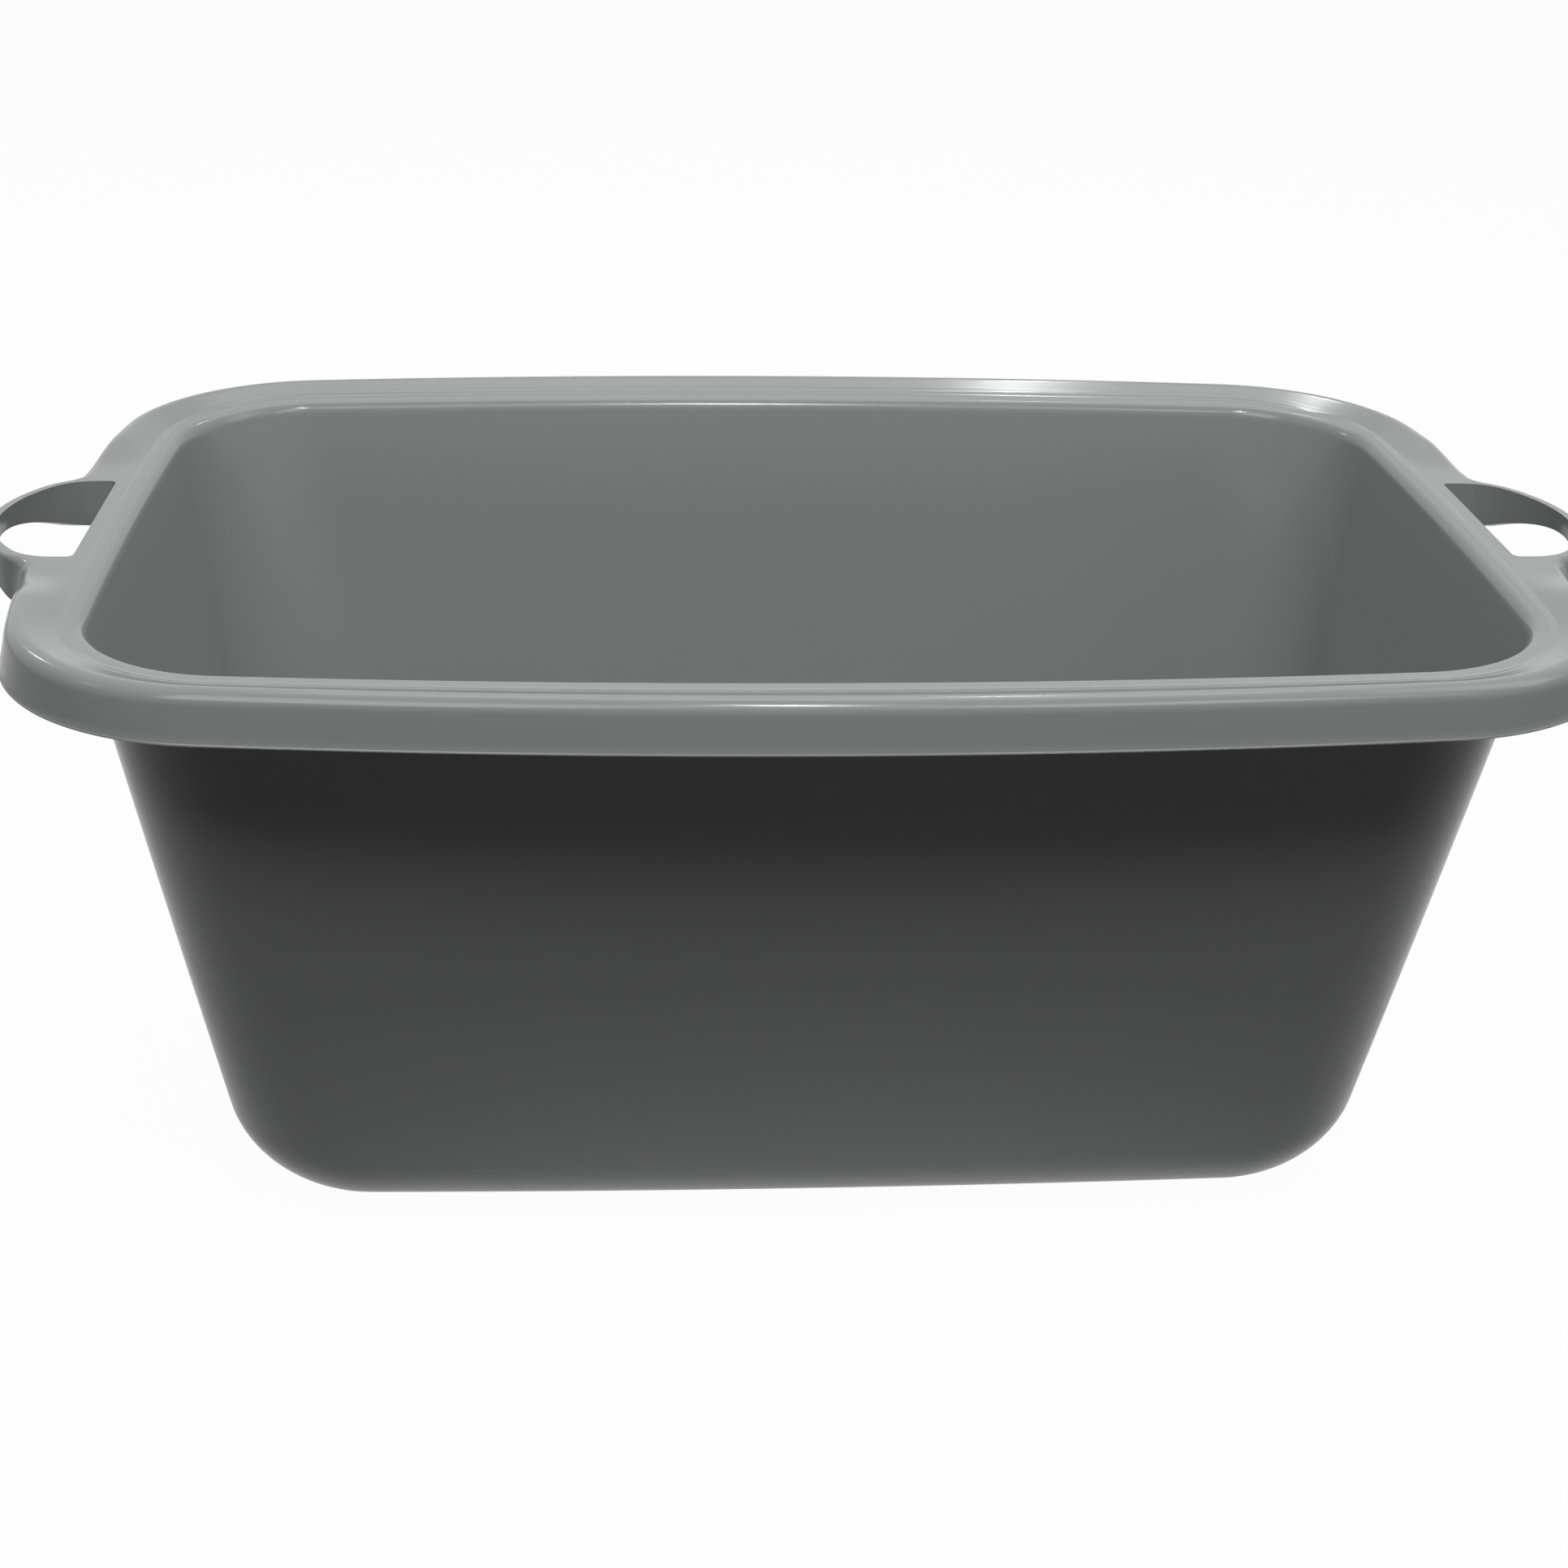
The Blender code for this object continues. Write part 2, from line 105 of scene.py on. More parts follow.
class TubSizes(bpy.types.PropertyGroup):
    """Sizes of the tub's own shapes"""

    height: length_setting("Height", "From the floor to the rim's crest", CAD_HIGH.z - CAD_LOW.z)
    wall: length_setting("Wall", "Thickness of the plastic", 0.0025)
    mouth_length: length_setting("Mouth length", "Inside, between the short walls", 0.5600)
    mouth_width: length_setting("Mouth width", "Inside, between the long walls", 0.3640)
    mouth_long_bow: length_setting("Mouth long bow", "How far the long sides stand out", 0.0140)
    mouth_short_bow: length_setting("Mouth short bow", "How far the ends stand out", 0.0050)
    mouth_corner: length_setting("Mouth corner", "Corner radius at the mouth", 0.0620)
    base_length: length_setting("Base length", "Outside, at the floor", 0.4790)
    base_width: length_setting("Base width", "Outside, at the floor", 0.2560)
    base_long_bow: length_setting("Base long bow", "How far the long sides stand out", 0.0042)
    base_short_bow: length_setting("Base short bow", "How far the ends stand out", 0.0010)
    base_corner: length_setting("Base corner", "Corner radius at the base", 0.0580)
    floor_fillet: length_setting("Floor fillet", "Outer radius from wall to floor", 0.0435)
    foot_band: length_setting("Foot band", "Width of the band that it stands on", 0.0140)
    panel_rise: length_setting("Panel rise", "How far the floor panel is set up", 0.0020)
    panel_slope: length_setting("Panel slope", "Width of the panel's sloping edge", 0.0040)
    fillet_width: length_setting("Lip fillet width", "Plan width of the mouth's fillet", 0.0040)
    fillet_height: length_setting("Lip fillet height", "Height of the mouth's fillet", 0.0055)
    ledge_rise: length_setting("Ledge rise", "How far the ledge climbs to the bead", 0.0003)
    bead_over_ends: length_setting("Bead over ends", "From the mouth to the bead, ends", 0.0052)
    bead_over_sides: length_setting("Bead over sides", "From the mouth to the bead, sides", 0.0122)
    bead_width: length_setting("Bead width", "Width of the low bead round the mouth", 0.0044)
    bead_height: length_setting("Bead height", "Height of that bead", 0.0002)
    bead_edge: length_setting("Bead edge", "Width of each of its soft edges", 0.0010)
    lip_reach: length_setting("Lip reach", "From the mouth to the rims and handles", 0.0084)
    rim_over_ends: length_setting("Rim over ends", "Flange width at the ends", 0.0369)
    rim_over_sides: length_setting("Rim over sides", "Flange width at the sides", 0.0360)
    rim_long_bow: length_setting("Rim long bow", "How far the long edges stand out", 0.0224)
    rim_short_bow: length_setting("Rim short bow", "How far the end edges stand out", 0.0264)
    rim_corner: length_setting("Rim corner", "Corner radius of the rim's edge", 0.0920)
    crest_rise: length_setting("Crest rise", "How far the flange climbs", 0.0043)
    crest_fade: length_setting("Crest fade", "Where that climb dies out", 0.0400)
    crest_radius: length_setting("Crest radius", "Rounding from flange to skirt", 0.0065)
    skirt_depth: length_setting("Skirt depth", "From the crest to the skirt's lip", 0.0192)
    skirt_lean: bpy.props.FloatProperty(
        name="Skirt lean",
        description="How far the skirt leans out towards its lip",
        default=math.radians(13),
        min=0.0,
        max=math.radians(30),
        subtype="ANGLE",
    )
    lip_flare: length_setting("Lip flare", "How far the skirt's lip stands out", 0.0010)
    lip_bead: length_setting("Lip bead", "How far the small bead on the lip stands out", 0.00025)
    lip_height: length_setting("Lip height", "Height of the bead on the lip", 0.0008)


class HandleSizes(bpy.types.PropertyGroup):
    """Sizes of the two handles"""

    hole_inset: length_setting("Hole inset", "From the mouth to the hand-hole", 0.0155)
    hole_reach: length_setting("Hole reach", "How deep the hand-hole is", 0.0397)
    hole_span: length_setting("Hole span", "Length of the hand-hole", 0.0990)
    hole_front: length_setting("Hole front radius", "Radius of its outer side", 0.0680)
    hole_shoulder: length_setting("Hole shoulder radius", "Radius at its outer ends", 0.0220)
    hole_corner: length_setting("Hole corner radius", "Radius at its inner ends", 0.0030)
    hole_edge: length_setting("Hole edge", "Rounding of the strap's edges", 0.0009)
    land: length_setting("Land", "From the hand-hole to the witness line", 0.0193)
    strap: length_setting("Strap thickness", "Thickness of the strap", 0.0048)
    strap_end_depth: length_setting("Strap end depth", "Depth at the strap's ends", 0.0204)
    strap_middle_depth: length_setting("Strap middle depth", "Depth at its middle", 0.0082)
    strap_blend: length_setting("Strap blend", "Radius from the rim into the strap", 0.0240)
    strap_round: length_setting("Strap rounding", "Rounding of its upper edge", 0.0022)


class PlasticLook(bpy.types.PropertyGroup):
    """Colour and finish of the plastic"""

    colour: bpy.props.FloatVectorProperty(
        name="Colour",
        description="Colour of the plastic",
        subtype="COLOR",
        size=3,
        min=0.0,
        max=1.0,
        default=(0.276, 0.282, 0.280),
    )
    cloudiness: bpy.props.FloatProperty(
        name="Cloudiness",
        description="How much the colour drifts over the surface",
        default=0.03,
        min=0.0,
        max=1.0,
        subtype="FACTOR",
    )
    roughness: bpy.props.FloatProperty(
        name="Roughness",
        description="Roughness of the smooth moulded surface",
        default=0.15,
        min=0.0,
        max=1.0,
        subtype="FACTOR",
    )
    gloss: bpy.props.FloatProperty(
        name="Gloss",
        description="Strength of the reflections",
        default=0.25,
        min=0.0,
        max=1.0,
        subtype="FACTOR",
    )
    skin: length_setting("Skin depth", "Height of the soft moulded skin", 0.00004)


def strength_setting(name, description, default):
    """The strength of a lamp, in watts."""
    return bpy.props.FloatProperty(
        name=name, description=description, default=default, min=0.0, unit="POWER"
    )


class StudioLook(bpy.types.PropertyGroup):
    """Light and background"""

    tube: strength_setting("Tube", "Narrow lamp overhead, for the bright lines on the rim", 5.8)
    front: strength_setting("Front", "Wide soft lamp in front", 9.8)
    front_left: strength_setting("Front left", "Soft lamp in front and to the left", 18.5)
    front_right: strength_setting("Front right", "Soft lamp in front and to the right", 7.0)
    back: strength_setting("Back", "Soft lamp behind", 6.0)
    back_high: strength_setting("Back high", "Soft lamp high behind", 6.4)
    right: strength_setting("Right", "Small lamp at the right", 4.6)
    right_high: strength_setting("Right high", "Soft lamp high at the right", 7.3)
    left: strength_setting("Left", "Small lamp at the left", 1.1)
    glint: strength_setting("Glint", "Narrow lamp behind, seen in the back of the rim", 2.0)
    corner: strength_setting("Corner", "Narrow lamp behind on the left, seen in the front corner", 2.4)
    ambient: bpy.props.FloatProperty(
        name="Ambient", description="Strength of the light from all round", default=0.004, min=0.0
    )
    # Painted pool of light: as bounced light sees it, the floor is pale round the tub and dark further
    # out, so the tub gets bounced light only from near its base
    floor: bpy.props.FloatProperty(
        name="Floor",
        description="Paleness of the floor round the tub, as it lights the tub",
        default=0.8,
        min=0.0,
        max=1.0,
        subtype="FACTOR",
    )


def side_radius(half, bow):
    """The radius of a side that stands out by its bow at its middle."""
    return (half**2 + bow**2) / (2 * bow)


def bowed_outline(length, width, long_bow, short_bow, corner):
    half_length = length / 2
    half_width = width / 2
    long_radius = side_radius(half_length, long_bow)
    short_radius = side_radius(half_width, short_bow)
    return Outline(half_length, half_width, long_radius, short_radius, corner)


def parallel(shape, by):
    """The outline that runs beside this one, further out by this much."""
    corner = max(shape.corner + by, SHARPEST_CORNER)
    return Outline(*(size + by for size in shape[:-1]), corner)


def between(low, high, share):
    """The outline at this share of the way up. The bowed sides blend by their curvature."""
    length, width, corner = (
        first + (last - first) * share
        for first, last in (
            (low.half_length, high.half_length),
            (low.half_width, high.half_width),
            (low.corner, high.corner),
        )
    )
    long_radius = 1 / ((1 - share) / low.long_radius + share / high.long_radius)
    short_radius = 1 / ((1 - share) / low.short_radius + share / high.short_radius)
    return Outline(length, width, long_radius, short_radius, corner)


def crossing(first, first_reach, second, second_reach):
    """Where circles round two points cross, at the place that lies furthest out."""
    across = second[0] - first[0]
    along = second[1] - first[1]
    apart = math.hypot(across, along)
    to_chord = (first_reach**2 - second_reach**2 + apart**2) / (2 * apart)
    half_chord = math.sqrt(max(first_reach**2 - to_chord**2, 0))
    foot = (first[0] + across * to_chord / apart, first[1] + along * to_chord / apart)
    ends = [
        (foot[0] + side * along * half_chord / apart, foot[1] - side * across * half_chord / apart)
        for side in (1, -1)
    ]
    return max(ends, key=sum)


def direction(start, end):
    """The angle at which one plan point is seen from another."""
    return math.atan2(end[1] - start[1], end[0] - start[0])


def arc(centre, radius, start, end, steps, facing=1):
    """Plan points along an arc, each with the direction out of the material."""
    angles = [start + (end - start) * step / steps for step in range(steps + 1)]
    spokes = [(math.cos(angle), math.sin(angle)) for angle in angles]
    return [
        ((centre[0] + radius * x, centre[1] + radius * y), (facing * x, facing * y))
        for x, y in spokes
    ]


def joined(*arcs):
    """Arcs that follow on from each other as one run, with each shared point once."""
    run = list(arcs[0])
    for piece in arcs[1:]:
        run += piece[1:]
    return run


def quarter(shape, end_y=0.0):
    """A quarter of an outline, from the middle of its long side round the corner to the point
    of its short side that is this far from the middle."""
    long_centre = (0.0, shape.half_width - shape.long_radius)
    short_centre = (shape.half_length - shape.short_radius, 0.0)
    corner_centre = crossing(
        long_centre,
        shape.long_radius - shape.corner,
        short_centre,
        shape.short_radius - shape.corner,
    )
    long_end = direction(long_centre, corner_centre)
    short_start = direction(short_centre, corner_centre)
    short_end = math.asin(end_y / shape.short_radius)
    return joined(
        arc(long_centre, shape.long_radius, QUARTER_TURN, long_end, LONG_STEPS),
        arc(corner_centre, shape.corner, long_end, short_start, CORNER_STEPS),
        arc(short_centre, shape.short_radius, short_start, short_end, SHORT_STEPS),
    )


def short_side_x(shape, y):
    """How far out the short side is at this distance from its middle."""
    return shape.half_length - shape.short_radius + math.sqrt(shape.short_radius**2 - y**2)


def clamped(share):
    return min(max(share, 0.0), 1.0)


def eased(share):
    """A share that leaves 0 and reaches 1 smoothly."""
    return (1 - math.cos(HALF_TURN * share)) / 2


def soft_climb(share):
    """A share that leaves 0 smoothly and soon goes on at an even rate."""
    if share < SOFT_START:
        even = share**2 / (2 * SOFT_START)
    else:
        even = share - SOFT_START / 2
    return even / (1 - SOFT_START / 2)


def mirrored(side):
    """A whole ring from a quarter of it, from the middle of the back clockwise."""
    right = side + [(x, -y, height) for x, y, height in reversed(side[:-1])]
    left = [(-x, y, height) for x, y, height in reversed(right[1:-1])]
    return right + left


def all_round(shape, height):
    """The whole outline at a height."""
    return mirrored([(x, y, height) for (x, y), _ in quarter(shape)])


class Levels:
    """Heights and reaches that follow from the sizes"""

    def __init__(self, sizes):
        self.mouth = bowed_outline(
            sizes.mouth_length,
            sizes.mouth_width,
            sizes.mouth_long_bow,
            sizes.mouth_short_bow,
            sizes.mouth_corner,
        )
        self.base = bowed_outline(
            sizes.base_length,
            sizes.base_width,
            sizes.base_long_bow,
            sizes.base_short_bow,
            sizes.base_corner,
        )
        self.rim = bowed_outline(
            sizes.mouth_length + 2 * sizes.rim_over_ends,
            sizes.mouth_width + 2 * sizes.rim_over_sides,
            sizes.rim_long_bow,
            sizes.rim_short_bow,
            sizes.rim_corner,
        )
        self.lip = sizes.height - sizes.crest_rise
        self.skirt_bottom = sizes.height - sizes.skirt_depth
        self.ledge_foot = self.lip - sizes.ledge_rise
        self.fillet_start = self.ledge_foot - sizes.fillet_height
        self.flange_start = parallel(self.mouth, sizes.lip_reach)


def bead_reach(sizes, side_share):
    """How far the bead's inner edge is from the mouth: 1 is the share on the long sides."""
    return sizes.bead_over_ends + (sizes.bead_over_sides - sizes.bead_over_ends) * side_share


def ledge_height(sizes, levels, reach, side_share):
    """The height of the ledge at this reach from the mouth, without the bead on it."""
    bead_start = bead_reach(sizes, side_share)
    climb = (reach - sizes.fillet_width) / (bead_start - sizes.fillet_width)
    return levels.ledge_foot + sizes.ledge_rise * clamped(climb)


def bead_rise(sizes, reach, side_share):
    """How far the bead stands above the ledge at this reach from the mouth."""
    inside = (reach - bead_reach(sizes, side_share)) / sizes.bead_edge
    outside = inside - (sizes.bead_width - sizes.bead_edge) / sizes.bead_edge
    return sizes.bead_height * (eased(clamped(inside)) - eased(clamped(outside)))


def wall_outline(sizes, levels, height):
    """The inside of the tub at this height, before the floor's fillet is taken off."""
    share = (height - sizes.wall) / (levels.ledge_foot - sizes.wall)
    return between(parallel(levels.base, -sizes.wall), levels.mouth, share)


def ledge_rings(sizes, levels):
    """The ledge inside the rim, ring by ring, each with the bead's rise at each of its points."""
    rings = []
    for step in range(1, LEDGE_STEPS + 1):
        share = step / LEDGE_STEPS
        reach = sizes.fillet_width + (sizes.lip_reach - sizes.fillet_width) * share
        ledge = []
        bead = []
        for (x, y), outward in quarter(parallel(levels.mouth, reach)):
            side_share = outward[1] ** 2
            ledge.append((x, y, ledge_height(sizes, levels, reach, side_share)))
            bead.append((x, y, bead_rise(sizes, reach, side_share)))
        rings.append((mirrored(ledge), [rise for _, _, rise in mirrored(bead)]))
    return rings


def basin_rings(sizes, levels):
    """The inside of the basin, ring by ring, from its raised floor panel up to its ledge."""
    fillet = sizes.floor_fillet - sizes.wall
    foot_edge = parallel(levels.base, -sizes.floor_fillet - sizes.foot_band)
    foot_edge = foot_edge._replace(corner=0.0200)
    rings = []
    for step in range(FLOOR_STEPS + 1):
        share = step / FLOOR_STEPS
        shape = parallel(foot_edge, -sizes.panel_slope * (1 - share))
        rings.append(all_round(shape, sizes.wall + sizes.panel_rise * (1 - eased(share))))
    for step in range(FLOOR_FILLET_STEPS + 1):
        angle = QUARTER_TURN * step / FLOOR_FILLET_STEPS
        height = sizes.wall + fillet * (1 - math.cos(angle))
        inset = fillet * (1 - math.sin(angle))
        rings.append(all_round(parallel(wall_outline(sizes, levels, height), -inset), height))
    wall_start = sizes.wall + fillet
    for step in range(1, WALL_STEPS):
        height = wall_start + (levels.fillet_start - wall_start) * step / WALL_STEPS
        rings.append(all_round(wall_outline(sizes, levels, height), height))
    for step in range(MOUTH_FILLET_STEPS + 1):
        angle = QUARTER_TURN * step / MOUTH_FILLET_STEPS
        height = levels.fillet_start + sizes.fillet_height * math.sin(angle)
        reach = sizes.fillet_width * (1 - math.cos(angle))
        rings.append(all_round(parallel(wall_outline(sizes, levels, height), reach), height))
    return rings


def rim_stations(sizes, levels, end_y):
    """The rim's outer edge from the middle of its long side to this near a handle's middle."""
    return [
        Station(point, outward, 0.0, eased(min((point[1] - end_y) / sizes.crest_fade, 1.0)))
        for point, outward in quarter(levels.rim, end_y)
    ]


def section_loop(sizes, handle, levels, inner, side_share, station):
    """The whole section of the rim or of a handle at one station: out over the bead and the
    crest, down the skirt, round its lip and back underneath."""

    def sized(rim_size, strap_size):
        return rim_size + (strap_size - rim_size) * station.strap_share

    def beside_edge(out, height):
        (x, y), (out_x, out_y) = station.point, station.outward
        return (x + out * out_x, y + out * out_y, height)

    rounding = sized(sizes.crest_radius, handle.strap_round)
    lean = sized(sizes.skirt_lean, 0.0)
    flare = sized(sizes.lip_flare, 0.0)
    bead = sized(sizes.lip_bead, 0.0)
    bottom = sized(levels.skirt_bottom, levels.lip - handle.strap_end_depth)
    crest = levels.lip + sizes.crest_rise * station.crest_share
    edge = sizes.wall / 4
    lip_top = bottom + edge + sizes.lip_height
    under = max(rounding - sizes.wall, edge)
    run = math.hypot(station.point[0] - inner[0], station.point[1] - inner[1]) - rounding
    tilt = math.atan2(crest - levels.lip, run * (1 - SOFT_START / 2))

    def skirt(height):
        return flare - bead - (height - bottom - edge) * math.tan(lean)

    def rounded_corner(radius, top, inset):
        """The corner between the flange and the leaning skirt, this far inside its face."""
        end = top - radius * (1 - math.sin(lean))
        centre = skirt(end) - inset - radius * math.cos(lean)
        sweep = QUARTER_TURN - lean + tilt
        angles = [sweep * step / CREST_STEPS - tilt for step in range(CREST_STEPS + 1)]
        return [
            (centre + radius * math.sin(angle), top - radius * (1 - math.cos(angle)))
            for angle in angles
        ]

    bead_start = max(bead_reach(sizes, side_share) - sizes.lip_reach, 2 * sizes.bead_edge)
    bead_end = bead_reach(sizes, side_share) + sizes.bead_width - sizes.lip_reach
    bead_end = max(bead_end, bead_start + 3 * sizes.bead_edge)

    def flange(edge, outs, drop, bead_share):
        edge_x, edge_y, edge_height = edge
        width = math.hypot(edge_x - inner[0], edge_y - inner[1])
        rise = edge_height + drop - levels.lip
        points = []
        for out in outs(width):
            reach = sizes.lip_reach + out
            x = inner[0] + (edge_x - inner[0]) * out / width
            y = inner[1] + (edge_y - inner[1]) * out / width
            height = ledge_height(sizes, levels, reach, side_share) - drop
            height += rise * soft_climb(out / width)
            height += bead_share * bead_rise(sizes, reach, side_share)
            points.append((x, y, height))
        return points

    def fine(width):
        knots = (
            0.0,
            bead_start,
            bead_start + sizes.bead_edge,
            bead_end - sizes.bead_edge,
            bead_end,
            width,
        )
        outs = [0.0]
        for low, high, steps in zip(knots, knots[1:], (*BEAD_STEPS, FLANGE_STEPS)):
            outs += [low + (high - low) * step / steps for step in range(1, steps + 1)]
        return outs

    def coarse(width):
        return [width * step / UNDERSIDE_STEPS for step in range(UNDERSIDE_STEPS + 1)]

    outside = rounded_corner(rounding, crest, 0.0)
    loop = flange(beside_edge(*outside[0]), fine, 0.0, 1.0)
    loop += [beside_edge(*point) for point in outside[1:]]
    skirt_top = outside[-1][1]
    for step in range(1, SKIRT_STEPS + 1):
        height = skirt_top + (lip_top - skirt_top) * step / SKIRT_STEPS
        loop.append(beside_edge(skirt(height), height))
    for step in range(1, LIP_STEPS + 1):
        share = step / LIP_STEPS
        height = lip_top + (bottom + edge - lip_top) * share
        swell = bead * math.sin(QUARTER_TURN * min(1.6 * share, 1.0)) ** 2
        loop.append(beside_edge(skirt(height) + swell, height))
    for step in range(1, LIP_STEPS + 1):
        angle = HALF_TURN * step / LIP_STEPS
        middle = flare / 2 - sizes.wall / 2
        half = flare / 2 + sizes.wall / 2
        loop.append(
            beside_edge(middle + half * math.cos(angle), bottom + edge * (1 - math.sin(angle)))
        )
    inset = sizes.wall / math.cos(lean)
    loop.append(beside_edge(skirt(lip_top) - inset, lip_top))
    inside = rounded_corner(under, crest - sizes.wall, inset)
    loop += [beside_edge(*point) for point in inside[:0:-1]]
    loop += reversed(flange(beside_edge(*inside[0]), coarse, sizes.wall, 0.0))
    return loop


def rim_loops(sizes, handle, levels):
    """The rim's sections from one handle round the back to the other."""
    end_y = handle.hole_span / 2 + handle.land
    inner_edge = quarter(levels.flange_start, end_y)
    half = [
        section_loop(sizes, handle, levels, inner, outward[1] ** 2, station)
        for (inner, outward), station in zip(inner_edge, rim_stations(sizes, levels, end_y))
    ]
    other_half = [[(-x, y, z) for x, y, z in loop] for loop in half[1:]]
    return half[::-1] + other_half


class HandlePlan:
    """Places of a handle seen from above"""

    def __init__(self, sizes, handle, levels):
        self.inner_x = sizes.mouth_length / 2 + handle.hole_inset
        self.half_span = handle.hole_span / 2
        front_x = self.inner_x + handle.hole_reach - handle.hole_front
        self.front_centre = (front_x, 0.0)
        shoulder_y = self.half_span - handle.hole_shoulder
        offset = math.sqrt((handle.hole_front - handle.hole_shoulder) ** 2 - shoulder_y**2)
        self.shoulder_centre = (front_x + offset, shoulder_y)
        self.shoulder_end = direction(self.front_centre, self.shoulder_centre)


def handle_stations(sizes, handle, levels, plan, start_y):
    """The outer edge of half a handle, from the rim's edge out round the strap to its middle."""
    rim = levels.rim
    rim_centre = (rim.half_length - rim.short_radius, 0.0)
    shoulder_radius = handle.hole_shoulder + handle.strap
    blend_centre = crossing(
        rim_centre,
        rim.short_radius + handle.strap_blend,
        plan.shoulder_centre,
        shoulder_radius + handle.strap_blend,
    )
    edge_start = math.asin(start_y / rim.short_radius)
    edge_end = direction(rim_centre, blend_centre)
    blend_start = direction(blend_centre, rim_centre)
    blend_end = direction(blend_centre, plan.shoulder_centre)
    shoulder_start = direction(plan.shoulder_centre, blend_centre)
    edge = arc(rim_centre, rim.short_radius, edge_start, edge_end, SHORT_STEPS)
    blend = arc(blend_centre, handle.strap_blend, blend_start, blend_end, STRAP_STEPS, facing=-1)
    shoulder = arc(
        plan.shoulder_centre, shoulder_radius, shoulder_start, plan.shoulder_end, STRAP_STEPS
    )
    front = arc(
        plan.front_centre,
        handle.hole_front + handle.strap,
        plan.shoulder_end,
        0.0,
        2 * STRAP_STEPS,
    )
    shares = [0.0] * len(edge)
    shares += [eased(step / STRAP_STEPS) for step in range(1, STRAP_STEPS + 1)]
    shares += [1.0] * (len(shoulder) + len(front) - 2)
    run = joined(edge, blend, shoulder, front)
    return [Station(point, outward, share, 0.0) for (point, outward), share in zip(run, shares)]


def handle_loops(sizes, handle, levels, plan):
    """A handle's sections from its one end round the strap to the other."""
    start_y = plan.half_span + handle.land
    half = []
    for station in handle_stations(sizes, handle, levels, plan, start_y):
        y = station.point[1]
        inner = (short_side_x(levels.flange_start, y), y)
        side_share = (y / levels.flange_start.short_radius) ** 2
        half.append(section_loop(sizes, handle, levels, inner, side_share, station))
    other_half = [[(x, -y, z) for x, y, z in loop] for loop in half[:-1]]
    return half + other_half[::-1]


def hole_outline(handle, plan, growth):
    """The D of the hand-hole, or the line round it that lies this much further out."""
    corner_centre = (plan.inner_x + handle.hole_corner, plan.half_span - handle.hole_corner)
    corner = arc(
        corner_centre, handle.hole_corner + growth, HALF_TURN, QUARTER_TURN, HOLE_CORNER_STEPS
    )
    shoulder = arc(
        plan.shoulder_centre,
        handle.hole_shoulder + growth,
        QUARTER_TURN,
        plan.shoulder_end,
        STRAP_STEPS,
    )
    front = arc(
        plan.front_centre, handle.hole_front + growth, plan.shoulder_end, 0.0, 2 * STRAP_STEPS
    )
    half = [point for point, _ in corner + joined(shoulder, front)]
    return half + [(x, -y) for x, y in reversed(half[:-1])]


def edit_mesh(piece):
    """The piece's mesh in edit mode, ready to be picked from by number."""
    mesh = bmesh.from_edit_mesh(piece.data)
    mesh.verts.ensure_lookup_table()
    mesh.verts.index_update()
    return mesh


def started(name, points):
    """Adds a circle, lays it on the given points and stays in edit mode with it selected."""
    bpy.ops.object.select_all(action="DESELECT")
    bpy.ops.mesh.primitive_circle_add(vertices=len(points), radius=1.0, fill_type="NOTHING")
    piece = bpy.context.object
    piece.name = name
    piece.data.name = name
    bpy.ops.object.mode_set(mode="EDIT")
    bpy.ops.mesh.select_mode(type="VERT")
    bpy.ops.mesh.select_all(action="SELECT")
    mesh = edit_mesh(piece)
    for vertex, point in zip(mesh.verts, points):
        vertex.co = point
    bmesh.update_edit_mesh(piece.data)
    return piece, list(range(len(points)))


def drawn_out(piece, run, points):
    """Extrudes the selected ring and lays the new ring on the given points."""
    bpy.ops.mesh.extrude_region_move()
    mesh = edit_mesh(piece)
    new_run = []
    for number, point in zip(run, points):
        old = mesh.verts[number]
        new = next(
            edge.other_vert(old) for edge in old.link_edges if edge.other_vert(old).select
        )
        new.co = point
        new_run.append(new.index)
    bmesh.update_edit_mesh(piece.data)
    return new_run


def ring_selected(piece, run):
    """Selects only this ring, with its edges."""
    bpy.ops.mesh.select_all(action="DESELECT")
    mesh = edit_mesh(piece)
    for number in run:
        mesh.verts[number].select_set(True)
    mesh.select_flush(True)
    bmesh.update_edit_mesh(piece.data)


def lofted(name, rings):
    """A closed solid through rings of points, filled at both ends, in object mode."""
    piece, first = started(name, rings[0])
    run = first
    for ring in rings[1:]:
        run = drawn_out(piece, run, ring)
    bpy.ops.mesh.edge_face_add()
    ring_selected(piece, first)
    bpy.ops.mesh.edge_face_add()
    bpy.ops.mesh.select_all(action="SELECT")
    bpy.ops.mesh.normals_make_consistent(inside=False)
    bpy.ops.object.mode_set(mode="OBJECT")
    return piece


def applied(piece, kind, **settings):
    """Adds a modifier with these settings to the piece and applies it."""
    bpy.ops.object.select_all(action="DESELECT")
    piece.select_set(True)
    bpy.context.view_layer.objects.active = piece
    modifier = piece.modifiers.new(kind.title(), kind)
    for setting, value in settings.items():
        setattr(modifier, setting, value)
    bpy.ops.object.modifier_apply(modifier=modifier.name)


def combined(piece, other, operation):
    """Joins or cuts the piece with another one, which is then removed."""
    applied(piece, "BOOLEAN", object=other, operation=operation, solver="EXACT")
    bpy.data.objects.remove(other)


def turned(piece, angle):
    """Turns the piece about the tub's upright axis and keeps the turn in its mesh."""
    bpy.ops.object.select_all(action="DESELECT")
    piece.select_set(True)
    bpy.context.view_layer.objects.active = piece
    piece.rotation_euler.z = angle
    bpy.ops.object.transform_apply(location=True, rotation=True, scale=True)


def smoothed(piece, degrees):
    """Shades the piece smooth, with edges sharper than this left crisp."""
    bpy.ops.object.select_all(action="DESELECT")
    piece.select_set(True)
    bpy.context.view_layer.objects.active = piece
    bpy.ops.object.shade_smooth_by_angle(angle=math.radians(degrees))


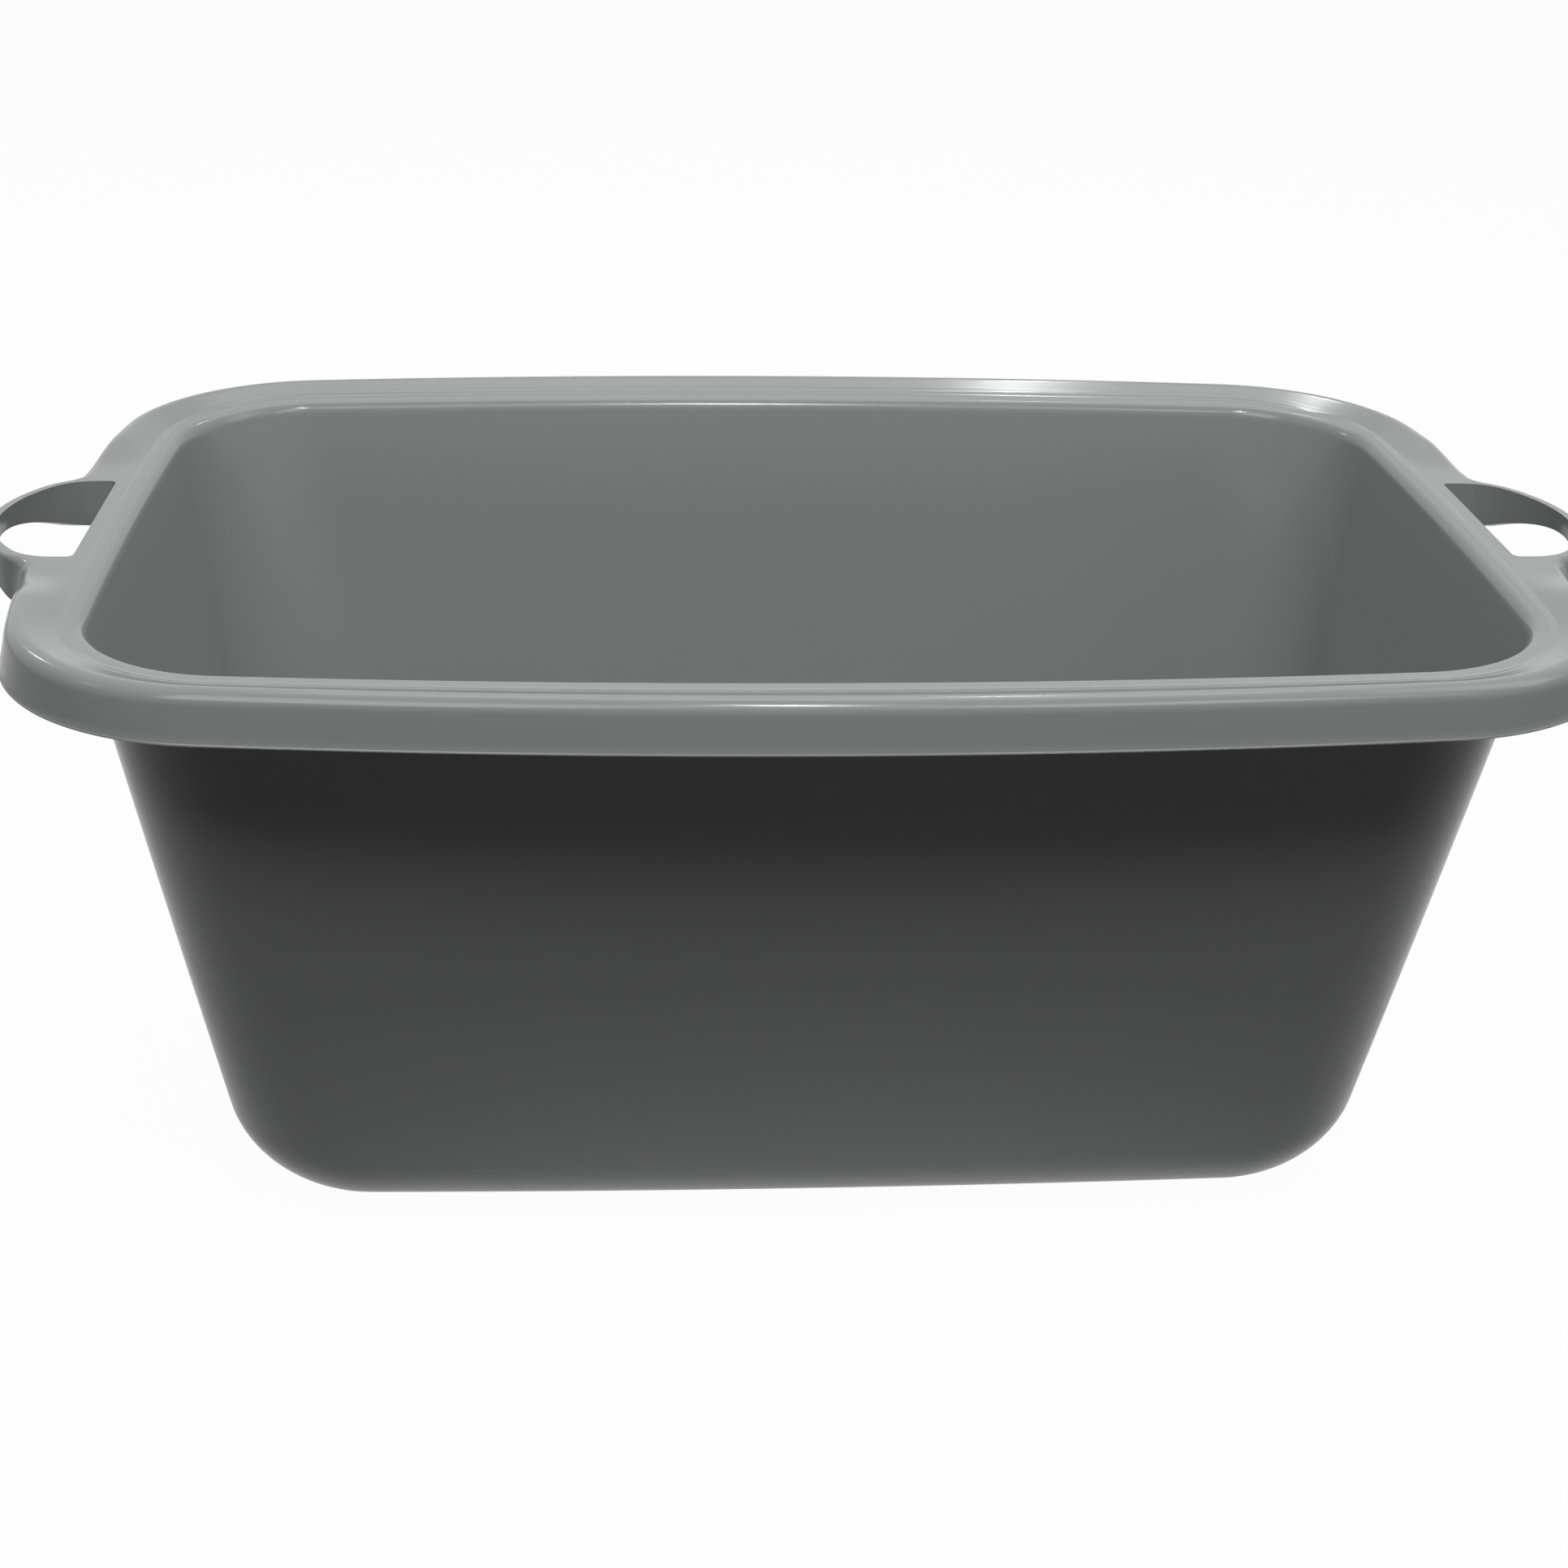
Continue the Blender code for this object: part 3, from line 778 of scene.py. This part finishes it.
def fitted(piece, *nodes):
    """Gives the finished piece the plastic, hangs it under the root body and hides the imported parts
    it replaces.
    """
    piece.data.materials.clear()
    piece.data.materials.append(plastic_material())
    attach(piece, ROOT)
    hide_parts(*nodes)


def node(tree, kind, place, **settings):
    """Adds a node at a place in the editor, with these settings."""
    made = tree.nodes.new(kind)
    made.location = place
    for setting, value in settings.items():
        setattr(made, setting, value)
    return made


def background_rays(tree):
    """The light path, and 1 for the rays that show the background: camera, glossy and clear."""
    path = node(tree, "ShaderNodeLightPath", (-900, 300))
    mirrored = node(tree, "ShaderNodeMath", (-650, 300), operation="MAXIMUM")
    seen = node(tree, "ShaderNodeMath", (-450, 300), operation="MAXIMUM")
    tree.links.new(path.outputs["Is Camera Ray"], mirrored.inputs[0])
    tree.links.new(path.outputs["Is Glossy Ray"], mirrored.inputs[1])
    tree.links.new(mirrored.outputs["Value"], seen.inputs[0])
    tree.links.new(path.outputs["Is Transmission Ray"], seen.inputs[1])
    return path, seen


def plastic_material():
    """The half-glossy grey plastic, made once and shared by all the pieces."""
    name = "grey_moulded_plastic"
    if name in bpy.data.materials:
        return bpy.data.materials[name]
    look = bpy.context.scene.plastic_look
    material = bpy.data.materials.new(name)
    material.use_nodes = True
    tree = material.node_tree
    shader = tree.nodes["Principled BSDF"]
    shader.inputs["Specular IOR Level"].default_value = look.gloss
    place = node(tree, "ShaderNodeTexCoord", (-1200, 0))

    clouds = node(tree, "ShaderNodeTexNoise", (-900, 300))
    clouds.inputs["Scale"].default_value = 7.0
    clouds.inputs["Detail"].default_value = 2.0
    tint = node(tree, "ShaderNodeMix", (-300, 300), data_type="RGBA")
    darker = 1 - look.cloudiness
    lighter = 1 + look.cloudiness
    tint.inputs["A"].default_value = (*(part * darker for part in look.colour), 1.0)
    tint.inputs["B"].default_value = (*(part * lighter for part in look.colour), 1.0)
    tree.links.new(place.outputs["Object"], clouds.inputs["Vector"])
    tree.links.new(clouds.outputs["Fac"], tint.inputs["Factor"])
    tree.links.new(tint.outputs["Result"], shader.inputs["Base Color"])

    polish = node(tree, "ShaderNodeTexNoise", (-900, 0))
    polish.inputs["Scale"].default_value = 30.0
    polish.inputs["Detail"].default_value = 3.0
    rough = node(tree, "ShaderNodeMapRange", (-300, 0))
    rough.inputs["To Min"].default_value = look.roughness - 0.03
    rough.inputs["To Max"].default_value = look.roughness + 0.03
    tree.links.new(place.outputs["Object"], polish.inputs["Vector"])
    tree.links.new(polish.outputs["Fac"], rough.inputs["Value"])
    tree.links.new(rough.outputs["Result"], shader.inputs["Roughness"])

    skin = node(tree, "ShaderNodeTexNoise", (-900, -300))
    skin.inputs["Scale"].default_value = 120.0
    skin.inputs["Detail"].default_value = 1.0
    bump = node(tree, "ShaderNodeBump", (-300, -300))
    bump.inputs["Strength"].default_value = 0.3
    bump.inputs["Distance"].default_value = look.skin
    tree.links.new(place.outputs["Object"], skin.inputs["Vector"])
    tree.links.new(skin.outputs["Fac"], bump.inputs["Height"])
    tree.links.new(bump.outputs["Normal"], shader.inputs["Normal"])
    return material


class TUB_OT_basin(bpy.types.Operator):
    """Models the basin: the floor, the four tapered walls and the ledge inside the rim"""

    bl_idname = "tub.basin"
    bl_label = "Basin"

    def execute(self, context):
        sizes = context.scene.tub_sizes
        levels = Levels(sizes)
        rings = basin_rings(sizes, levels)
        basin, first = started("tub_basin", rings[0])
        run = first
        for ring in rings[1:]:
            run = drawn_out(basin, run, ring)
        rises = []
        for ring, ring_rises in ledge_rings(sizes, levels):
            run = drawn_out(basin, run, ring)
            rises += zip(run, ring_rises)
        ring_selected(basin, first)
        bpy.ops.mesh.edge_face_add()
        bpy.ops.mesh.select_all(action="SELECT")
        bpy.ops.mesh.normals_make_consistent(inside=True)
        bpy.ops.object.mode_set(mode="OBJECT")
        floor = max(basin.data.polygons, key=lambda face: face.area)
        if floor.normal.z < 0:
            basin.data.flip_normals()
        applied(
            basin,
            "SOLIDIFY",
            thickness=sizes.wall,
            offset=-1.0,
            use_even_offset=True,
            use_quality_normals=True,
        )
        for number, rise in rises:
            basin.data.vertices[number].co.z += rise
        smoothed(basin, 40)
        fitted(basin, "basin")
        return {"FINISHED"}


class TUB_OT_rims(bpy.types.Operator):
    """Models the back rim from one section drawn round the mouth, and copies it to the front"""

    bl_idname = "tub.rims"
    bl_label = "Rims"

    def execute(self, context):
        sizes = context.scene.tub_sizes
        handle = context.scene.handle_sizes
        loops = rim_loops(sizes, handle, Levels(sizes))
        back = lofted("tub_back_rim", loops)
        front = back.copy()
        front.data = back.data.copy()
        front.name = "tub_front_rim"
        front.data.name = "tub_front_rim"
        context.scene.collection.objects.link(front)
        turned(front, HALF_TURN)
        for rim, name in ((back, "back_rim"), (front, "front_rim")):
            smoothed(rim, 40)
            fitted(rim, name)
        return {"FINISHED"}


class TUB_OT_handles(bpy.types.Operator):
    """Models the right handle with its hand-hole and arched strap, and copies it to the left"""

    bl_idname = "tub.handles"
    bl_label = "Handles"

    def execute(self, context):
        sizes = context.scene.tub_sizes
        handle = context.scene.handle_sizes
        levels = Levels(sizes)
        plan = HandlePlan(sizes, handle, levels)
        right = lofted("tub_right_handle", handle_loops(sizes, handle, levels, plan))
        strap_bottom = levels.lip - handle.strap_end_depth
        collar_wall = handle.strap - sizes.wall / 2
        collar_line = hole_outline(handle, plan, collar_wall)
        collar_top = levels.lip - sizes.wall / 2
        collar = lofted(
            "collar",
            [[(x, y, height) for x, y in collar_line] for height in (strap_bottom, collar_top)],
        )
        hole_line = hole_outline(handle, plan, 0.0)
        hole = lofted(
            "hole",
            [
                [(x, y, height) for x, y in hole_line]
                for height in (strap_bottom - CUT_OVERRUN, levels.lip + CUT_OVERRUN)
            ],
        )
        arch_radius = side_radius(
            plan.half_span, handle.strap_end_depth - handle.strap_middle_depth
        )
        start_x = plan.inner_x + handle.hole_corner
        length = handle.hole_reach - handle.hole_corner + handle.strap + CUT_OVERRUN
        bpy.ops.object.select_all(action="DESELECT")
        bpy.ops.mesh.primitive_cylinder_add(
            vertices=ARCH_SEGMENTS,
            radius=arch_radius,
            depth=length,
            location=(
                start_x + length / 2,
                0.0,
                levels.lip - handle.strap_middle_depth - arch_radius,
            ),
            rotation=(0.0, QUARTER_TURN, 0.0),
        )
        arch = context.object
        combined(right, collar, "UNION")
        combined(right, hole, "DIFFERENCE")
        combined(right, arch, "DIFFERENCE")
        self.rounded(right, handle, levels, plan)
        left = right.copy()
        left.data = right.data.copy()
        left.name = "tub_left_handle"
        left.data.name = "tub_left_handle"
        context.scene.collection.objects.link(left)
        turned(left, HALF_TURN)
        for piece, name in ((right, "right_handle"), (left, "left_handle")):
            smoothed(piece, 40)
            applied(piece, "WEIGHTED_NORMAL", keep_sharp=True, weight=100)
            fitted(piece, name)
        return {"FINISHED"}

    def rounded(self, piece, handle, levels, plan):
        """Cleans the flat faces and rounds the edges of the hand-hole and of the strap."""
        bpy.ops.object.select_all(action="DESELECT")
        piece.select_set(True)
        bpy.context.view_layer.objects.active = piece
        bpy.ops.object.mode_set(mode="EDIT")
        bpy.ops.mesh.select_all(action="SELECT")
        bpy.ops.mesh.remove_doubles(threshold=MERGE_DISTANCE)
        bpy.ops.mesh.dissolve_limited(angle_limit=math.radians(0.2))
        bpy.ops.mesh.select_mode(type="EDGE")
        bpy.ops.mesh.select_all(action="DESELECT")
        mesh = edit_mesh(piece)
        reach = handle.hole_edge / 4
        for edge in mesh.edges:
            ends = [vertex.co for vertex in edge.verts]
            on_top = all(abs(end.z - levels.lip) < reach for end in ends)
            by_hole = all(
                plan.inner_x - reach < end.x < plan.inner_x + handle.hole_reach + reach
                and abs(end.y) < plan.half_span + reach
                for end in ends
            )
            sharp = len(edge.link_faces) == 2 and edge.calc_face_angle() > math.radians(60)
            edge.select_set(on_top and by_hole and sharp)
        bmesh.update_edit_mesh(piece.data)
        bpy.ops.mesh.bevel(offset=handle.hole_edge, segments=4, profile=0.5, clamp_overlap=True)
        bpy.ops.object.mode_set(mode="OBJECT")


class TUB_OT_studio(bpy.types.Operator):
    """Sets up the floor, the soft lamps, the white background and the camera"""

    bl_idname = "tub.studio"
    bl_label = "Studio"

    def execute(self, context):
        studio = context.scene.studio_look
        self.add_floor(studio)
        self.add_world(context.scene, studio)
        for name, power, azimuth, elevation, distance, size in (
            ("tube_lamp", studio.tube, -83.1, 69.3, 1.657, (0.07, 0.34)),
            ("front_lamp", studio.front, -90.0, 54.0, 2.5, (3.40, 0.60)),
            ("front_left_lamp", studio.front_left, -120.0, 55.5, 2.5, (1.10, 1.20)),
            ("front_right_lamp", studio.front_right, -60.0, 54.5, 2.5, (0.70, 0.70)),
            ("back_lamp", studio.back, 82.0, 50.0, 2.5, (1.60, 0.80)),
            ("back_high_lamp", studio.back_high, 82.0, 65.0, 2.5, (1.60, 0.60)),
            ("right_lamp", studio.right, -5.0, 38.0, 2.4, (0.80, 0.60)),
            ("right_high_lamp", studio.right_high, 0.0, 55.0, 2.4, (1.20, 0.80)),
            ("left_lamp", studio.left, -175.0, 38.0, 2.4, (0.35, 0.35)),
            ("glint_lamp", studio.glint, 76.0, 41.0, 2.720, (0.10, 0.25)),
            ("corner_lamp", studio.corner, 138.0, 32.0, 2.500, (0.12, 0.25)),
        ):
            self.add_lamp(name, power, azimuth, elevation, distance, size)
        self.add_camera(context.scene)
        context.scene.view_settings.view_transform = "Standard"
        return {"FINISHED"}

    def add_floor(self, studio):
        bpy.ops.object.select_all(action="DESELECT")
        bpy.ops.mesh.primitive_plane_add(size=12.0, location=(0.0, 0.0, 0.0))
        floor = bpy.context.object
        floor.name = "floor"
        material = bpy.data.materials.new("floor_white")
        material.use_nodes = True
        tree = material.node_tree
        tree.nodes.remove(tree.nodes["Principled BSDF"])
        path, seen = background_rays(tree)
        # Painted pool of light on the floor: for bounced light the floor's colour is pale round the
        # tub and fades to black further out, so bounced light reaches the tub only from near its base;
        # camera, glossy and clear rays see the white backdrop instead
        paper = node(tree, "ShaderNodeBsdfDiffuse", (-450, 0))
        place = node(tree, "ShaderNodeTexCoord", (-1300, 0))
        spread = node(tree, "ShaderNodeMapping", (-1100, 0))
        spread.inputs["Scale"].default_value = (1 / 0.300, 1 / 0.190, 1.0)
        reach = node(tree, "ShaderNodeVectorMath", (-900, 0), operation="LENGTH")
        painted_light_pool = node(tree, "ShaderNodeMapRange", (-700, 0))
        painted_light_pool.inputs["From Min"].default_value = 0.9
        painted_light_pool.inputs["From Max"].default_value = 1.3
        painted_light_pool.inputs["To Min"].default_value = studio.floor
        painted_light_pool.inputs["To Max"].default_value = 0.0
        tree.links.new(place.outputs["Object"], spread.inputs["Vector"])
        tree.links.new(spread.outputs["Vector"], reach.inputs[0])
        tree.links.new(reach.outputs["Value"], painted_light_pool.inputs["Value"])
        tree.links.new(painted_light_pool.outputs["Result"], paper.inputs["Color"])
        white_paper = node(tree, "ShaderNodeBsdfDiffuse", (-450, -150))
        white_paper.inputs["Color"].default_value = (0.9, 0.9, 0.9, 1.0)
        glow = node(tree, "ShaderNodeEmission", (-450, -300))
        glow_share = node(tree, "ShaderNodeMapRange", (-450, -450))
        glow_share.inputs["To Min"].default_value = 0.5
        glow_share.inputs["To Max"].default_value = 0.97
        backdrop = node(tree, "ShaderNodeMixShader", (-200, -200))
        both = node(tree, "ShaderNodeMixShader", (0, 100))
        tree.links.new(path.outputs["Is Camera Ray"], glow_share.inputs["Value"])
        tree.links.new(glow_share.outputs["Result"], backdrop.inputs["Fac"])
        tree.links.new(white_paper.outputs["BSDF"], backdrop.inputs[1])
        tree.links.new(glow.outputs["Emission"], backdrop.inputs[2])
        tree.links.new(seen.outputs["Value"], both.inputs["Fac"])
        tree.links.new(paper.outputs["BSDF"], both.inputs[1])
        tree.links.new(backdrop.outputs["Shader"], both.inputs[2])
        tree.links.new(both.outputs["Shader"], tree.nodes["Material Output"].inputs["Surface"])
        floor.data.materials.append(material)

    def add_world(self, scene, studio):
        world = bpy.data.worlds.new("studio_world")
        scene.world = world
        world.use_nodes = True
        tree = world.node_tree
        plain = tree.nodes["Background"]
        plain.inputs["Color"].default_value = (1.0, 1.0, 1.0, 1.0)
        plain.inputs["Strength"].default_value = studio.ambient
        _, seen = background_rays(tree)
        white = node(tree, "ShaderNodeBackground", (-350, -100))
        white.inputs["Strength"].default_value = 1.0
        white.inputs["Color"].default_value = (1.0, 1.0, 1.0, 1.0)
        both = node(tree, "ShaderNodeMixShader", (0, 100))
        tree.links.new(seen.outputs["Value"], both.inputs["Fac"])
        tree.links.new(plain.outputs["Background"], both.inputs[1])
        tree.links.new(white.outputs["Background"], both.inputs[2])
        tree.links.new(both.outputs["Shader"], tree.nodes["World Output"].inputs["Surface"])

    def add_lamp(self, name, power, azimuth, elevation, distance, size):
        """Adds a lamp at these angles round the tub's middle, in degrees, aimed at it."""
        lamp = bpy.data.lights.new(name, "AREA")
        lamp.shape = "RECTANGLE"
        lamp.size, lamp.size_y = size
        lamp.energy = power
        item = bpy.data.objects.new(name, lamp)
        bpy.context.scene.collection.objects.link(item)
        turn, rise = math.radians(azimuth), math.radians(elevation)
        away = Vector(
            (
                math.cos(rise) * math.cos(turn),
                math.cos(rise) * math.sin(turn),
                math.sin(rise),
            )
        )
        item.location = LAMP_AIM + distance * away
        item.rotation_euler = (-away).to_track_quat("-Z", "Y").to_euler()

    def add_camera(self, scene):
        yaw, pitch, roll = 0.072237, 0.433726, -0.023897
        forward = Vector(
            (math.sin(yaw) * math.cos(pitch), math.cos(yaw) * math.cos(pitch), -math.sin(pitch))
        )
        level = Vector((math.cos(yaw), -math.sin(yaw), 0.0))
        down = forward.cross(level)
        right = level * math.cos(roll) + down * math.sin(roll)
        low = down * math.cos(roll) - level * math.sin(roll)
        lens = bpy.data.cameras.new("camera")
        lens.sensor_fit = "HORIZONTAL"
        lens.sensor_width = 36.0
        lens.lens = 57.352
        lens.shift_y = 0.0090
        lens.clip_start = 0.01
        item = bpy.data.objects.new("camera", lens)
        scene.collection.objects.link(item)
        axes = Matrix((right, -low, -forward)).transposed()
        item.matrix_world = Matrix.Translation((-0.07690, -1.01475, 0.61301)) @ axes.to_4x4()
        scene.camera = item


class TUB_PT_sidebar(bpy.types.Panel):
    """Lists the tub's sizes and the steps that model it"""

    bl_idname = "TUB_PT_sidebar"
    bl_label = "Utility Tub"
    bl_space_type = "VIEW_3D"
    bl_region_type = "UI"
    bl_category = "Tub"

    def draw(self, context):
        layout = self.layout
        scene = context.scene
        for title, group in (
            ("Tub", scene.tub_sizes),
            ("Handles", scene.handle_sizes),
            ("Plastic", scene.plastic_look),
            ("Studio", scene.studio_look),
        ):
            box = layout.box()
            box.label(text=title)
            for setting in group.bl_rna.properties.keys():
                if setting not in {"rna_type", "name"}:
                    box.prop(group, setting)
        column = layout.column(align=True)
        for step in STEPS:
            column.operator(step.bl_idname)


GROUPS = (TubSizes, HandleSizes, PlasticLook, StudioLook)
STEPS = (TUB_OT_basin, TUB_OT_rims, TUB_OT_handles, TUB_OT_studio)


def register():
    for kind in (*GROUPS, *STEPS, TUB_PT_sidebar):
        bpy.utils.register_class(kind)
    bpy.types.Scene.tub_sizes = bpy.props.PointerProperty(type=TubSizes)
    bpy.types.Scene.handle_sizes = bpy.props.PointerProperty(type=HandleSizes)
    bpy.types.Scene.plastic_look = bpy.props.PointerProperty(type=PlasticLook)
    bpy.types.Scene.studio_look = bpy.props.PointerProperty(type=StudioLook)


def unregister():
    del bpy.types.Scene.studio_look
    del bpy.types.Scene.plastic_look
    del bpy.types.Scene.handle_sizes
    del bpy.types.Scene.tub_sizes
    for kind in reversed((*GROUPS, *STEPS, TUB_PT_sidebar)):
        bpy.utils.unregister_class(kind)


def main():
    register()
    bpy.ops.tub.basin()
    bpy.ops.tub.rims()
    bpy.ops.tub.handles()
    bpy.ops.tub.studio()
    bpy.context.view_layer.update()


if __name__ == "__main__":
    main()
